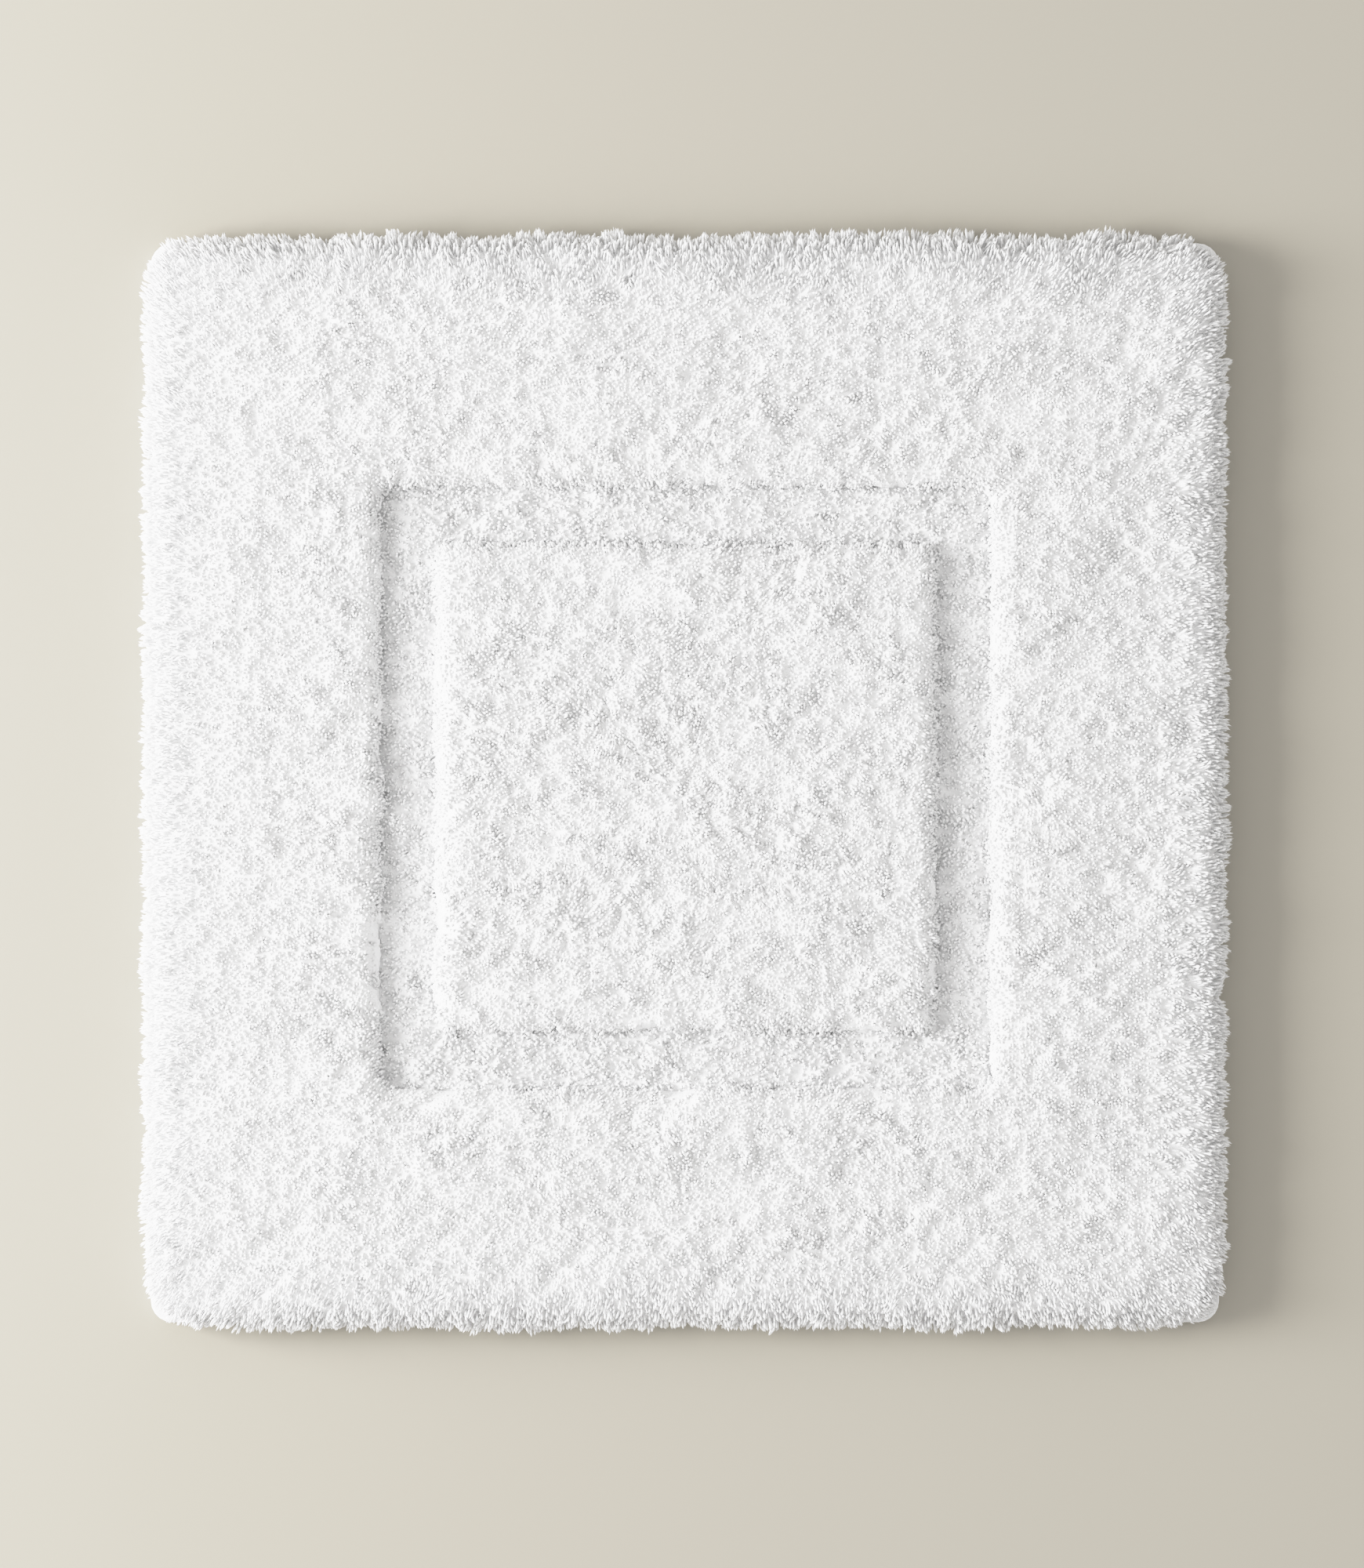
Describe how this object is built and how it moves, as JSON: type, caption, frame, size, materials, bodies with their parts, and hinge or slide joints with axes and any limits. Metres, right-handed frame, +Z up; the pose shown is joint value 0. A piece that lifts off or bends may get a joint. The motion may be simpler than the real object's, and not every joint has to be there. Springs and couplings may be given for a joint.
{
  "type": "bath mat",
  "caption": "Square white bath mat with a deep cut pile, a sunken square channel around a raised middle, a taped hem and a studded grip underside.",
  "frame": {"origin": "middle of the underside, on the plane that the grip studs rest on", "axes": "+Z up through the pile; the mat's front edge faces -Y, its back edge with the label faces +Y, and +X is to the right seen from above"},
  "size_m": [0.608, 0.614, 0.03],
  "materials": {
    "pile_yarn": "soft white cut-pile yarn, matte with a slight lustre",
    "backing_cloth": "plain woven off-white cloth",
    "backing_scrim": "open woven off-white scrim",
    "latex": "matte dried latex",
    "grip_rubber": "matte milky white rubber with raised square studs",
    "binding_tape": "white twill tape",
    "sewing_thread": "white polyester thread with a faint sheen",
    "label_ribbon": "white satin ribbon, blank"
  },
  "bodies": {
    "root": {"grip_coat": "grip_rubber", "secondary_backing": "backing_scrim", "latex_precoat": "latex", "tuft_back_stitches": "pile_yarn", "primary_backing": "backing_cloth", "border_pile": "pile_yarn", "channel_pile": "pile_yarn", "centre_pile": "pile_yarn", "edge_binding": "binding_tape", "binding_needle_thread": "sewing_thread", "binding_bobbin_thread": "sewing_thread", "care_label": "label_ribbon", "label_tacks": "sewing_thread"}
  },
  "joints": []
}
